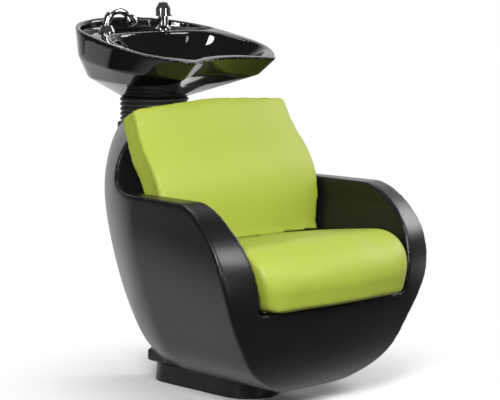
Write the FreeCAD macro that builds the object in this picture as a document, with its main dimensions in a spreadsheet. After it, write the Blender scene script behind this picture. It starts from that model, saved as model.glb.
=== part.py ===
import FreeCAD, Part
import math
import os

import Sketcher
from FreeCAD import Placement, Rotation, Vector

# Salon backwash unit: a moulded shell on a plinth carries two cushions, and a post behind the seat
# carries a tilting ceramic basin with its mixer and hand shower. Millimetres, +Z up, the sitter faces -Y,
# and the origin is on the floor at the middle of the plinth.
doc = FreeCAD.newDocument("backwash_unit")
sheet = doc.addObject("Spreadsheet::Sheet", "sizes")

SIZES = {
    # Gaps and walls shared by the whole unit
    "clearance": 0.3, "running_gap": 0.05, "overrun": 40, "shell_wall": 6, "board_thickness": 12,
    # Plinth and floor plate
    "plinth_width": 170, "plinth_length": 420, "plinth_height": 50, "plinth_wall": 4, "plinth_flare": 4,
    "plate_width": 150, "plate_length": 380, "plate_thickness": 8, "plate_end_width": 70,
    "plate_side_length": 240, "anchor_spacing_across": 92, "anchor_spacing_along": 290,
    "anchor_diameter": 11,
    "pipe_opening_width": 50, "pipe_opening_length": 90, "pipe_opening_middle": 20,
    # Seat posts, rails and basin post
    "seat_post_width": 30, "seat_post_depth": 40, "seat_post_wall": 3, "seat_post_spacing": 110,
    "seat_post_front": -105, "seat_post_rear": 85, "rail_base": 185, "rail_width": 30,
    "rail_front": -370, "rail_rear": 105,
    "basin_post_diameter": 60, "basin_post_wall": 4, "basin_post_foot": 135,
    # Shell
    "shell_height": 656, "shell_half_width": 374, "shell_rear": 376, "shell_bow": 60, "shell_reach": 420,
    "side_front_station": -400, "side_rear_station": -60,
    "bowl_cut_reach": 620, "arm_height": 557, "nose_reach": 430, "well_half_width": 294,
    "well_floor_half_width": 252, "well_shoulder_height": 500, "well_floor_front": -470,
    "well_floor_height": 286, "seat_tilt": 7, "rest_half_width": 236, "bellows_hole_diameter": 140,
    "frame_hole_width": 144, "frame_hole_front": -130, "frame_hole_rear": 125, "frame_hole_bulge": 43,
    # Seat cushion
    "seat_half_width": 271, "seat_low_half_width": 243, "seat_rear": -62, "seat_front": -480,
    "seat_front_low": -476, "seat_top_front": -385, "seat_thickness": 160, "seat_crown": 9,
    "seat_bow": 30, "cushion_roll": 12,
    "seat_board_front": -430, "seat_board_rear": -90, "seat_board_half_width": 225,
    # Back cushion
    "back_half_width": 289, "back_low_half_width": 274, "back_top_half_width": 274, "back_thickness": 62,
    "back_low_height": 414,
    "back_low_front": -114, "back_bend_height": 566, "back_bend_front": -92, "back_top_height": 765,
    "back_top_front": 24, "back_crown": 16, "back_arch": 17, "back_draw": 3,
    "back_board_half_width": 200, "back_board_length": 150,
    # Screws
    "screw_diameter": 6, "screw_head_diameter": 12, "screw_head_height": 4, "screw_bite": 9,
    "seat_screw_across": 300, "back_screw_across": 300, "back_screw_along": 100,
    # Service cover
    "cover_width": 200, "cover_height": 210, "cover_low": 190, "cover_gap": 1, "cover_screw_inset": 18,
    "cover_lug_width": 44, "cover_lug_depth": 18,
    # Tilt head, with the pin's height taken from the back cushion's top
    "tilt_along": 255, "tilt_height": -30, "pin_diameter": 16, "pin_head_diameter": 26, "pin_head": 6,
    "pin_nut": 10, "clevis_base": -45, "clevis_base_thickness": 10, "clevis_width": 100,
    "clevis_depth": 64, "lug_radius": 20, "clevis_lug_inner": 26, "clevis_lug_outer": 36,
    "bracket_lug_inner": 14, "bracket_lug_outer": 24, "bush_diameter": 22,
    "bracket_diameter": 156, "bracket_thickness": 8, "bracket_bolt_circle": 144, "bracket_bolt": 8,
    "bracket_bolt_head": 13, "bracket_bolt_head_height": 5, "bracket_bolt_bite": 12,
    # Bellows
    "bellows_diameter": 190, "bellows_root_diameter": 174, "bellows_bore": 164, "rib_count": 5,
    # Basin, with its heights taken from the tilt pin and the deck's from the rim
    "basin_length": 520, "basin_front": -83, "basin_half_width": 252, "basin_horn_half_width": 145,
    "basin_neck_depth": 34, "rim_front_height": 152, "rim_slope": 10.9, "band_level_along": 99,
    "band_middle_height": 123, "band_slope": 8.5, "skirt_height": 81, "skirt_slope": 3,
    "neck_height": 38, "neck_diameter": 178, "neck_bore": 124, "basin_wall": 11, "rim_width": 15,
    "deck_height": 63, "deck_thickness": 12, "bowl_floor_height": 91, "bowl_rear": 276,
    # Drain
    "drain_along": 195, "drain_hole": 46, "drain_flange_diameter": 70, "drain_flange_height": 3,
    "drain_tube": 44, "drain_bore": 36, "drain_drop": 24, "drain_seal": 3, "drain_nut": 8,
    "drain_nut_diameter": 64, "strainer_diameter": 60, "strainer_height": 6, "strainer_stem": 10,
    "strainer_wall": 2, "strainer_slot": 5, "strainer_circle": 24, "strainer_slots": 10,
    # Mixer
    "mixer_across": 86, "mixer_along": 316, "mixer_hole": 28, "mixer_shank": 26, "mixer_gasket": 2,
    "mixer_foot": 46, "mixer_foot_height": 5, "mixer_waist": 29, "mixer_body_height": 38,
    "mixer_nut_diameter": 42, "mixer_nut_height": 7, "mixer_washer": 2, "mixer_shank_drop": 26,
    "cartridge_diameter": 22, "cartridge_height": 10, "carrier_diameter": 28, "carrier_height": 16,
    "hood_diameter": 44, "hood_height": 40, "hood_wall": 2.5, "hood_gap": 2, "lever_length": 8,
    "lever_width": 14, "lever_thickness": 5, "lever_pin_diameter": 4, "index_diameter": 8,
    "index_height": 1.5,
    # Hand shower
    "holder_across": -126, "holder_along": 306, "holder_hole": 26, "holder_shank": 24,
    "holder_foot": 46, "holder_top": 30, "holder_height": 20, "holder_bore": 18,
    "stem_length": 24, "stem_neck": 3, "handle_diameter": 18, "grip_diameter": 24, "grip_ribs": 5,
    "grip_start": 8, "grip_sweep": 40, "grip_groove": 1.4, "handle_bend": 36, "handle_sweep": 140,
    "head_diameter": 32, "head_length": 28, "spray_face_diameter": 26, "spray_face": 2, "shower_lean": -14,
}
for row, (alias, number) in enumerate(SIZES.items(), start=1):
    sheet.set("A%d" % row, alias)
    sheet.set("B%d" % row, str(number))
    sheet.setAlias("B%d" % row, alias)
doc.recompute()


class Dim:
    """A size that carries both its number and the spreadsheet expression that it comes from."""

    def __init__(self, text, number):
        self.text = text
        self.number = float(number)

    def joined(self, sign, other, number):
        text = other.text if isinstance(other, Dim) else repr(other)
        return Dim("(%s %s %s)" % (self.text, sign, text), number)

    def __float__(self):
        return self.number

    def __add__(self, other):
        return self.joined("+", other, self.number + float(other))

    def __sub__(self, other):
        return self.joined("-", other, self.number - float(other))

    def __mul__(self, other):
        return self.joined("*", other, self.number * float(other))

    def __truediv__(self, other):
        return self.joined("/", other, self.number / float(other))

    def __neg__(self):
        return self * -1


def dim(alias):
    return Dim("sizes." + alias, sheet.get(alias))


def size(alias):
    return float(sheet.get(alias))


# The basin stands on the tilt pin, which follows the back cushion's top, and the deck follows the rim.
HEIGHT_FROM = {
    "tilt_height": "back_top_height", "clevis_base": "tilt_height", "neck_height": "tilt_height",
    "skirt_height": "tilt_height", "band_middle_height": "tilt_height", "rim_front_height": "tilt_height",
    "bowl_floor_height": "tilt_height", "deck_height": "rim_front_height",
}


def level_dim(alias):
    """A height over the floor, added up from the heights that it is taken from."""
    below = HEIGHT_FROM.get(alias)
    return dim(alias) + level_dim(below) if below else dim(alias)


def level(alias):
    return float(level_dim(alias))


nodes = {}


def keep(label, made):
    """Registers a finished piece under the name of its file."""
    made.Label = label
    nodes[label] = made
    return made


def place(made, x=0, y=0, z=0, turn=None):
    """Sets a piece at its place, with each coordinate bound to the sheet where it comes from there."""
    made.Placement = Placement(Vector(float(x), float(y), float(z)), turn or Rotation())
    for axis, amount in zip("xyz", (x, y, z)):
        if isinstance(amount, Dim):
            made.setExpression("Placement.Base." + axis, amount.text)
    return made


def bind(made, **sizes):
    for name, amount in sizes.items():
        made.setExpression(name, amount.text)
    return made


def new_body(label):
    return doc.addObject("PartDesign::Body", label)


def new_sketch(owner, role):
    drawn = owner.newObject("Sketcher::SketchObject", owner.Name + "_sketch")
    support = next(item for item in owner.Origin.OriginFeatures if item.Role == role)
    drawn.AttachmentSupport = [(support, "")]
    drawn.MapMode = "FlatFace"
    return drawn


def hold_point(drawn, line, end, u, v):
    """Fixes one end of a line by two bound distances from the sketch's origin."""
    for kind, amount, axis in (("DistanceX", u, -2), ("DistanceY", v, -1)):
        if float(amount) == 0:
            drawn.addConstraint(Sketcher.Constraint("PointOnObject", line, end, axis))
        else:
            index = drawn.addConstraint(Sketcher.Constraint(kind, -1, 1, line, end, float(amount)))
            drawn.setExpression("Constraints[%d]" % index, amount.text)


def outline(drawn, points):
    """Draws a closed polygon whose corners are bound to the sheet."""
    first = drawn.GeometryCount
    count = len(points)
    for i in range(count):
        start, end = points[i], points[(i + 1) % count]
        drawn.addGeometry(Part.LineSegment(Vector(float(start[0]), float(start[1]), 0),
                                           Vector(float(end[0]), float(end[1]), 0)))
    for i in range(count):
        drawn.addConstraint(Sketcher.Constraint("Coincident", first + i, 2, first + (i + 1) % count, 1))
        hold_point(drawn, first + i, 1, *points[i])


def ring(drawn, u, v, diameter):
    """Draws a circle with a bound place and diameter."""
    made = drawn.addGeometry(Part.Circle(Vector(float(u), float(v), 0), Vector(0, 0, 1),
                                         float(diameter) / 2))
    hold_point(drawn, made, 3, u, v)
    index = drawn.addConstraint(Sketcher.Constraint("Diameter", made, float(diameter)))
    drawn.setExpression("Constraints[%d]" % index, diameter.text)


def lathe(label, points, x=0, y=0, z=0, turn=None):
    """A turned blank: a half profile of radii and heights spun about Z."""
    owner = new_body(label)
    drawn = new_sketch(owner, "XZ_Plane")
    outline(drawn, points)
    spin = owner.newObject("PartDesign::Revolution", label + "_turning")
    spin.Profile = drawn
    spin.ReferenceAxis = (drawn, ["V_Axis"])
    spin.Angle = 360
    return place(owner, x, y, z, turn)


def turned(label, points, x=0, y=0, z=0, turn=None):
    """A turned blank that is a piece by itself."""
    return keep(label, lathe(label, points, x, y, z, turn))


def washer(label, bore, diameter, thickness, x=0, y=0, z=0, turn=None):
    inner, outer = bore / 2, diameter / 2
    return turned(label, [(inner, 0), (outer, 0), (outer, thickness), (inner, thickness)], x, y, z, turn)


def block(name, width, depth, height, x, y, z):
    """A rectangular block with its low corner at x, y, z."""
    made = bind(doc.addObject("Part::Box", name), Length=width, Width=depth, Height=height)
    return place(made, x, y, z)


def rod(name, diameter, length, x, y, z, turn=None):
    made = bind(doc.addObject("Part::Cylinder", name), Radius=diameter / 2, Height=length)
    return place(made, x, y, z, turn)


def cut(name, base, tool):
    made = doc.addObject("Part::Cut", name)
    made.Base, made.Tool = base, tool
    return made


def joined(name, pieces):
    made = doc.addObject("Part::MultiFuse", name)
    made.Shapes = pieces
    return made


def group(label, pieces):
    made = doc.addObject("Part::Compound", label)
    made.Links = pieces
    return keep(label, made)


def solid(label, shape):
    """A piece whose shape is worked out from the sheet by the code below."""
    made = doc.addObject("Part::Feature", label)
    made.Shape = shape
    return keep(label, made)


ALONG_X = Rotation(Vector(0, 1, 0), 90)
HOOD_SHOULDER_SHARE, HOOD_CROWN_SHARE = 0.6, 0.55
HEAD_SWELL_SHARE, HEAD_FULL_SHARE = 0.4, 0.75

# Floor plate: laser-cut steel with four anchor holes and an opening for the water pipes.
plate_body = new_body("base_plate")
plate_sketch = new_sketch(plate_body, "XY_Plane")
half_plate, half_run = dim("plate_width") / 2, dim("plate_length") / 2
half_end, half_side = dim("plate_end_width") / 2, dim("plate_side_length") / 2
outline(plate_sketch, [(-half_end, -half_run), (half_end, -half_run), (half_plate, -half_side),
                       (half_plate, half_side),
                       (half_end, half_run), (-half_end, half_run), (-half_plate, half_side),
                       (-half_plate, -half_side)])
half_pipe, pipe_middle = dim("pipe_opening_width") / 2, dim("pipe_opening_middle")
pipe_half_length = dim("pipe_opening_length") / 2
pipe_low, pipe_high = pipe_middle - pipe_half_length, pipe_middle + pipe_half_length
outline(plate_sketch, [(-half_pipe, pipe_low), (half_pipe, pipe_low), (half_pipe, pipe_high),
                       (-half_pipe, pipe_high)])
half_across, half_along = dim("anchor_spacing_across") / 2, dim("anchor_spacing_along") / 2
for across in (-half_across, half_across):
    for along in (-half_along, half_along):
        ring(plate_sketch, across, along, dim("anchor_diameter"))
plate_pad = plate_body.newObject("PartDesign::Pad", "base_plate_pad")
plate_pad.Profile = plate_sketch
bind(plate_pad, Length=dim("plate_thickness"))
keep("base_plate", plate_body)


def slot_outline(width, length):
    """A flat slot with round ends, on the floor plane."""
    radius = width / 2
    high = length / 2 - radius
    low = -high
    edges = [Part.LineSegment(Vector(radius, low, 0), Vector(radius, high, 0)),
             Part.Arc(Vector(radius, high, 0), Vector(0, high + radius, 0), Vector(-radius, high, 0)),
             Part.LineSegment(Vector(-radius, high, 0), Vector(-radius, low, 0)),
             Part.Arc(Vector(-radius, low, 0), Vector(0, low - radius, 0), Vector(radius, low, 0))]
    return Part.Wire([edge.toShape() for edge in edges])


def at_height(wire, height):
    raised = wire.copy()
    raised.translate(Vector(0, 0, height))
    return raised


def frame_opening():
    """The way through the plinth's top and the shell's underside for the posts."""
    front, rear, wide = size("frame_hole_front"), size("frame_hole_rear"), size("frame_hole_width")
    base, tall = size("plinth_height") - size("overrun"), 2 * size("overrun")
    bulge = Part.makeCylinder(size("frame_hole_bulge"), tall, Vector(0, size("basin_post_foot"), base))
    return Part.makeBox(wide, rear - front, tall, Vector(-wide / 2, front, base)).fuse(bulge)


def plinth_shape():
    """A moulded skirt, a little wider at the floor, open below and with a way through its top."""
    wall, flare, height = size("plinth_wall"), size("plinth_flare"), size("plinth_height")
    width, length = size("plinth_width"), size("plinth_length")
    outer = Part.makeLoft([slot_outline(width, length),
                           at_height(slot_outline(width - 2 * flare, length - 2 * flare), height)], True,
                           True)
    bore = Part.Face(slot_outline(width - 2 * flare - 2 * wall, length - 2 * flare - 2 * wall))
    return outer.cut(bore.extrude(Vector(0, 0, height - wall))).cut(frame_opening())


solid("plinth_cover", plinth_shape())


# Seat posts: four box sections welded to the floor plate. Seat rails: two bars, level below and raked above.
def floor_height(along):
    """Height of the seat well's floor, which rises towards the knees."""
    rise = math.tan(math.radians(size("seat_tilt")))
    return size("well_floor_height") - (along - size("well_floor_front")) * rise


posts = []
post_width, post_depth, post_wall = dim("seat_post_width"), dim("seat_post_depth"), dim("seat_post_wall")
post_height = dim("rail_base") - dim("plate_thickness")
for side, across in (("left", -dim("seat_post_spacing") / 2), ("right", dim("seat_post_spacing") / 2)):
    for station in ("front", "rear"):
        low_x, low_y = across - post_width / 2, dim("seat_post_" + station) - post_depth / 2
        outer_box = block("post_%s_%s_outside" % (side, station), post_width, post_depth, post_height,
                          low_x, low_y, dim("plate_thickness"))
        inner_box = block("post_%s_%s_inside" % (side, station), post_width - post_wall * 2,
                          post_depth - post_wall * 2,
                          post_height, low_x + post_wall, low_y + post_wall, dim("plate_thickness"))
        posts.append(cut("post_%s_%s" % (side, station), outer_box, inner_box))
group("seat_posts", posts)


def rail_shape(middle):
    """One rail: a level underside on the posts and a raked top just below the seat well's floor."""
    half, drop = size("rail_width") / 2, size("shell_wall") + size("clearance")
    front, rear, base = size("rail_front"), size("rail_rear"), size("rail_base")
    stop = size("back_low_front") + size("back_thickness") + size("shell_wall") + 2 * size("clearance")
    corners = [(front, base), (rear, base), (rear, floor_height(stop) - drop),
               (stop, floor_height(stop) - drop),
               (front, floor_height(front) - drop)]
    ends = [Vector(middle - half, y, z) for y, z in corners]
    return Part.Face(Part.makePolygon(ends + ends[:1])).extrude(Vector(2 * half, 0, 0))


half_gauge = size("seat_post_spacing") / 2
solid("seat_rails", Part.makeCompound([rail_shape(-half_gauge), rail_shape(half_gauge)]))


def basin_post_shape():
    """A raked tube from the floor plate to the tilt head, cut level at both ends."""
    foot = Vector(0, size("basin_post_foot"), size("plate_thickness"))
    rake = Vector(0, size("tilt_along"), level("clevis_base")) - foot
    radius = size("basin_post_diameter") / 2
    outside = Part.Face(Part.Wire(Part.makeCircle(radius, foot))).extrude(rake)
    inside = Part.Face(Part.Wire(Part.makeCircle(radius - size("basin_post_wall"), foot))).extrude(rake)
    return outside.cut(inside)


solid("basin_post", basin_post_shape())

# Shell: plan sections from the floor up. Each row gives height, half width by the knees, half width by
# the hips and reach to the rear, as shares of the shell's own sizes.
SECTION_SHARES = [
    (0.000, 0.24, 0.27, 0.54), (0.015, 0.34, 0.33, 0.58), (0.050, 0.48, 0.44, 0.63), (0.100, 0.62, 0.55,
                                                                                      0.69),
    (0.255, 0.82, 0.71, 0.83), (0.425, 0.95, 0.82, 0.93),
    (0.595, 1.00, 0.90, 0.98), (0.775, 0.995, 0.925, 1.00), (0.875, 0.95, 0.88, 0.985),
    (0.950, 0.86, 0.79, 0.965),
    (0.985, 0.78, 0.71, 0.94), (1.000, 0.73, 0.66, 0.915),
]
REAR_FULLNESS_SHARE = 0.34


def plan_section(height, knee, hip, rear):
    """One level outline of the tub: straight flanks and a round back."""
    knee_station, hip_station = size("side_front_station"), size("side_rear_station")
    front = -size("bowl_cut_reach")
    flare = (knee - hip) / (hip_station - knee_station)
    far = hip + flare * (hip_station - front)
    pull = REAR_FULLNESS_SHARE * (rear - hip_station)
    right = [Vector(hip, hip_station, height), Vector(hip - flare * pull, hip_station + pull, height),
             Vector(REAR_FULLNESS_SHARE * hip, rear, height), Vector(0, rear, height)]
    curve_right, curve_left = Part.BezierCurve(), Part.BezierCurve()
    curve_right.setPoles(right)
    curve_left.setPoles([Vector(-p.x, p.y, p.z) for p in reversed(right)])
    corner_left, corner_right = Vector(-far, front, height), Vector(far, front, height)
    edges = [Part.makeLine(corner_left, corner_right), Part.makeLine(corner_right, right[0]),
             curve_right.toShape(),
             curve_left.toShape(), Part.makeLine(Vector(-hip, hip_station, height), corner_left)]
    return Part.Wire(edges)


def tub(inset):
    """The whole outside of the tub, drawn in by an inset for its cavity."""
    tall, base = size("shell_height"), size("plinth_height")
    wide, deep = size("shell_half_width"), size("shell_rear")
    wires = []
    for level, knee, hip, rear in SECTION_SHARES:
        height = base + inset + level * (tall - 2 * inset)
        wires.append(plan_section(height, knee * wide - inset, hip * wide - inset, rear * deep - inset))
    return Part.makeLoft(wires, True, False)


# Side view of the shell at its widest: belly, nose and arm front as one curve, then the arm's flat top
# and the sweep up behind the shoulders. Rows give forward reach and height as shares.
BELLY_SHARES = [(0.586, 0.090), (0.730, 0.106), (0.793, 0.147), (0.845, 0.200), (0.922, 0.381),
                (0.977, 0.562),
                (0.977, 0.663), (0.945, 0.758), (0.886, 0.837), (0.795, 0.912), (0.685, 0.970),
                (0.572, 1.000)]
SWEEP_SHARES = [(0.055, 1.000), (-0.080, 1.010), (-0.171, 1.040), (-0.230, 1.140), (-0.275, 1.280)]


def side_profile(across, forward, shrink_share):
    """The side view as a closed wire, moved forward by the bow and shrunk about the hips for the cavity."""
    reach, arm = size("nose_reach"), size("arm_height")
    far = size("bowl_cut_reach")

    def spot(share):
        along = -share[0] * reach * shrink_share
        middle = arm / 2
        height = middle + (share[1] * arm - middle) * shrink_share
        return Vector(across, along - forward, height)

    front_curve, rear_curve = Part.BSplineCurve(), Part.BSplineCurve()
    front_curve.interpolate([spot(share) for share in BELLY_SHARES])
    rear_curve.interpolate([spot(share) for share in SWEEP_SHARES])
    low, top = spot(BELLY_SHARES[0]), spot(SWEEP_SHARES[-1])
    back_top, back_low = Vector(across, far, top.z), Vector(across, far, low.z)
    edges = [front_curve.toShape(), Part.makeLine(spot(BELLY_SHARES[-1]), spot(SWEEP_SHARES[0])),
             rear_curve.toShape(),
             Part.makeLine(top, back_top), Part.makeLine(back_top, back_low), Part.makeLine(back_low, low)]
    return Part.Wire(edges)


def side_form(shrink_share):
    """The side view carried across the unit, bowed forward at the middle."""
    reach, bow = size("shell_reach"), size("shell_bow")
    return Part.makeLoft([side_profile(-reach, 0, shrink_share), side_profile(0, bow, shrink_share),
                          side_profile(reach, 0, shrink_share)], True, False)


def prism(corners, half):
    """A side-view polygon carried across the unit."""
    ends = [Vector(-half, y, z) for y, z in corners]
    return Part.Face(Part.makePolygon(ends + ends[:1])).extrude(Vector(2 * half, 0, 0))


def back_line(height, offset):
    """Where the reclined back cushion's front face is at a height, set back by an offset along its normal."""
    run = size("back_top_front") - size("back_bend_front")
    climb = size("back_top_height") - size("back_bend_height")
    lean = math.atan2(run, climb)
    along = size("back_bend_front") + (height - size("back_bend_height")) * run / climb
    return along + offset / math.cos(lean)


def back_rest(grow):
    """The panel of the shell that the back cushion leans on, behind the cushion's upper half."""
    seat_back = size("back_thickness") + size("clearance") - grow
    top = size("plinth_height") + size("shell_height")
    low = size("well_shoulder_height")
    deep = size("tilt_along")
    corners = [(back_line(low, seat_back), low), (back_line(top, seat_back), top), (deep, top), (deep, low)]
    return prism(corners, size("rest_half_width") + grow)


def seat_well(grow):
    """The open space between the arms for the two cushions, grown by the wall for the cavity's cut."""
    floor_front, far = size("well_floor_front"), size("bowl_cut_reach")
    board_back = size("back_thickness") + size("clearance") + grow
    bend, top = size("back_bend_height"), size("back_top_height") + size("overrun")
    rear_low = size("back_low_front") + board_back
    corners = [(-far, floor_height(-far) - grow), (rear_low, floor_height(rear_low) - grow),
               (rear_low, size("back_low_height")), (back_line(bend, board_back), bend),
               (back_line(top, board_back), top), (-far, top)]
    low, high = floor_height(rear_low) - grow, top
    wide, narrow = size("well_half_width") + grow, size("well_floor_half_width") + grow
    shoulder = size("well_shoulder_height")
    outline_points = [(-narrow, low), (narrow, low), (wide, shoulder), (wide, high), (-wide, high),
                      (-wide, shoulder)]
    ends = [Vector(x, -far, z) for x, z in outline_points]
    front_view = Part.Face(Part.makePolygon(ends + ends[:1])).extrude(Vector(0, 2 * far, 0))
    return prism(corners, 2 * wide).common(front_view)


def shell_outside(inset):
    shrink_share = 1 - 2 * inset / size("arm_height")
    return tub(inset).common(side_form(shrink_share).fuse(back_rest(-inset)))


def shell_shape():
    """The moulded tub, open below and at the neck, and the hollow between its outer and inner skins."""
    wall, top = size("shell_wall"), size("plinth_height") + size("shell_height")
    outside = shell_outside(0).cut(seat_well(0))
    front_face = side_form(1)
    front_face.translate(Vector(0, wall, -wall))
    hollow = shell_outside(wall).common(front_face.fuse(back_rest(-wall))).cut(seat_well(wall))
    skin = outside.cut(hollow)
    neck = Part.makeCylinder(size("bellows_hole_diameter") / 2, 2 * size("overrun"),
                             Vector(0, size("tilt_along"), top - size("overrun")))
    return skin.cut(frame_opening()).cut(neck), hollow


def cover_window(gap):
    """The rounded-off rectangle that the service cover fills in the back of the shell."""
    half, low = size("cover_width") / 2 - gap, size("cover_low") + gap
    tall = size("cover_height") - 2 * gap
    return Part.makeBox(2 * half, size("bowl_cut_reach"), tall, Vector(-half,
                                                                       size("tilt_along") - size("overrun"),
                                                                       low))


whole_shell, shell_hollow = shell_shape()
cover_shape = whole_shell.common(cover_window(size("cover_gap")))
shell_open = whole_shell.cut(cover_window(0))


# Seat cushion: foam in one sewn cover, crowned on top, bowed at the knees and narrower below.
NOSE_SHARE = 0.3
NOSE_TURN_SHARE = math.sqrt(0.5)
ROLL_SHARE = 0.92
SLICE_SHARES = (-1, -0.975, -ROLL_SHARE, -0.5, 0, 0.5, ROLL_SHARE, 0.975, 1)


def cushion_base(along):
    return floor_height(along) + size("clearance")


def seat_section(share, crown_share, inset):
    """One slice of the seat cushion across the unit, leaning outwards with the arms."""
    rear, front = size("seat_rear") - inset, size("seat_front") + inset
    low_front = size("seat_front_low") + inset
    top_front, thick = size("seat_top_front"), size("seat_thickness")
    crown, bow = crown_share * size("seat_crown"), crown_share * size("seat_bow")
    low, high = cushion_base(low_front), cushion_base(top_front) + thick
    nose_height = low + NOSE_SHARE * thick

    def spot(along, height):
        lean = (height - low) / (high - low)
        half = size("seat_low_half_width") + lean * (size("seat_half_width") - size("seat_low_half_width"))
        return Vector(share * half, along, height)

    top_height = high + crown - inset
    nose_turn = (front - bow + (1 - NOSE_TURN_SHARE) * (top_front - front + bow),
                 nose_height + NOSE_TURN_SHARE * (top_height - nose_height))
    rear_top = cushion_base(rear) + thick - inset
    middle = (rear + top_front) / 2
    rear_low, rear_high = spot(rear, cushion_base(rear) + inset), spot(rear, rear_top)
    top_lip, nose = spot(top_front, top_height), spot(front - bow, nose_height)
    front_low = spot(low_front - bow, cushion_base(low_front - bow) + inset)
    crest = spot(middle, (rear_top + top_height) / 2 + crown + size("clearance"))
    edges = [Part.makeLine(rear_low, rear_high), Part.Arc(rear_high, crest, top_lip).toShape(),
             Part.Arc(top_lip, spot(*nose_turn), nose).toShape(), Part.makeLine(nose, front_low),
             Part.makeLine(front_low, rear_low)]
    return Part.Wire(edges)


def seat_cushion_shape():
    """Slices from arm to arm: the crown fades towards the sides and the last few millimetres roll over."""
    sections = []
    for share in SLICE_SHARES:
        past_roll = max(0, abs(share) - ROLL_SHARE) / (1 - ROLL_SHARE)
        sections.append(seat_section(share, 1 - share ** 2, size("cushion_roll") * past_roll ** 2))
    return Part.makeLoft(sections, True, False)




# Back cushion: upright at the loins, reclined above them, with an arched top edge.
def recline():
    """Angle of the upper half from upright, in radians."""
    return math.atan2(size("back_top_front") - size("back_bend_front"),
                      size("back_top_height") - size("back_bend_height"))


def back_section(along, height, lean, half, crown_share):
    """One slice of the back cushion, square to its front face."""
    thick, crown = size("back_thickness"), crown_share * size("back_crown")
    inward = Vector(0, math.cos(lean), -math.sin(lean))
    front_left, front_right = Vector(-half, along, height), Vector(half, along, height)
    front_middle = Vector(0, along, height) - inward * crown
    rear_left, rear_right = front_left + inward * thick, front_right + inward * thick
    draw = Vector(size("back_draw"), 0, 0)
    waist_left = front_left + inward * (thick / 2) + draw
    waist_right = front_right + inward * (thick / 2) - draw
    edges = [Part.Arc(front_left, front_middle, front_right).toShape(),
             Part.Arc(front_right, waist_right, rear_right).toShape(),
             Part.makeLine(rear_right, rear_left), Part.Arc(rear_left, waist_left, front_left).toShape()]
    return Part.Wire(edges)


def back_cushion_shape():
    """Slices from the seat up to past the top edge, trimmed by the arch."""
    lean = recline()
    up, inward = Vector(0, math.sin(lean), math.cos(lean)), Vector(0, math.cos(lean), -math.sin(lean))
    bend = Vector(0, size("back_bend_front"), size("back_bend_height"))
    top = Vector(0, size("back_top_front"), size("back_top_height"))
    middle, beyond = (bend + top) / 2, top + up * (2 * size("back_arch"))
    wide, narrow = size("back_half_width"), size("back_top_half_width")
    low = Vector(0, size("back_low_front"), size("back_low_height"))
    loin = (size("back_low_half_width") + wide) / 2
    sections = [back_section(low.y, low.z, 0, size("back_low_half_width"), 1),
                back_section((low.y + bend.y) / 2, (low.z + bend.z) / 2, 0, loin, 1),
                back_section(bend.y, bend.z, lean / 2, wide, 1),
                back_section(middle.y, middle.z, lean, wide, 1),
                back_section(top.y, top.z, lean, narrow, 1), back_section(beyond.y, beyond.z, lean, narrow,
                                                                          1)]
    body_form = Part.makeLoft(sections, True, False)
    away = inward * (-2 * size("back_thickness"))
    left, right = top + away - Vector(wide, 0, 0), top + away + Vector(wide, 0, 0)
    crest = top + away + up * size("back_arch")
    drop = up * (-2 * size("back_top_height"))
    arch = Part.Wire([Part.Arc(left, crest, right).toShape(), Part.makeLine(right, right + drop),
                      Part.makeLine(right + drop, left + drop), Part.makeLine(left + drop, left)])
    return body_form.common(Part.Face(arch).extrude(inward * (6 * size("back_thickness"))))




# Plywood boards let into the seat cushion's underside and the back cushion's rear, each held by four screws.
def screw(spot, into, grip_length):
    """A pan-head screw: its head lies against the far side of what it clamps."""
    head = Part.makeCylinder(size("screw_head_diameter") / 2, size("screw_head_height"), spot, -into)
    shank = Part.makeCylinder(size("screw_diameter") / 2, grip_length + size("screw_bite"), spot, into)
    return head.fuse(shank)


def screw_hole(spot, into, grip_length):
    length = grip_length + size("screw_bite") + size("clearance")
    return Part.makeCylinder(size("screw_diameter") / 2 + size("running_gap"), length, spot, into)


tilt = math.radians(size("seat_tilt"))
seat_up = Vector(0, math.sin(tilt), math.cos(tilt))
board_front, board_rear = size("seat_board_front"), size("seat_board_rear")
lift, board = size("clearance"), size("board_thickness")


def seat_board_block(grow):
    """The seat's board, or with some growth the pocket that it fills."""
    front, rear = board_front - grow, board_rear + grow
    deep, low = board + grow, lift - board * math.ceil(grow)
    return prism([(front, floor_height(front) + low), (rear, floor_height(rear) + low),
                  (rear, floor_height(rear) + lift + deep), (front, floor_height(front) + lift + deep)],
                 size("seat_board_half_width") + grow)


lean = recline()
back_in, back_up = Vector(0, math.cos(lean), -math.sin(lean)), Vector(0, math.sin(lean), math.cos(lean))
board_face = size("back_thickness") - board
board_middle = (Vector(0, size("back_bend_front"), size("back_bend_height"))
                + Vector(0, size("back_top_front"), size("back_top_height"))) / 2 + back_in * board_face


def back_board_block(grow):
    """The back's board, or with some growth the pocket that it fills."""
    up, shallow = back_up * (size("back_board_length") / 2 + grow), back_in * -grow
    deep = back_in * (board + board * math.ceil(grow))
    corners = [board_middle - up + shallow, board_middle + up + shallow, board_middle + up + deep,
               board_middle - up + deep]
    return prism([(p.y, p.z) for p in corners], size("back_board_half_width") + grow)


well_room = seat_well(-lift)
solid("seat_cushion", seat_cushion_shape().common(well_room).cut(seat_board_block(lift)))
solid("back_cushion", back_cushion_shape().common(well_room).cut(back_board_block(lift)))

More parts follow.
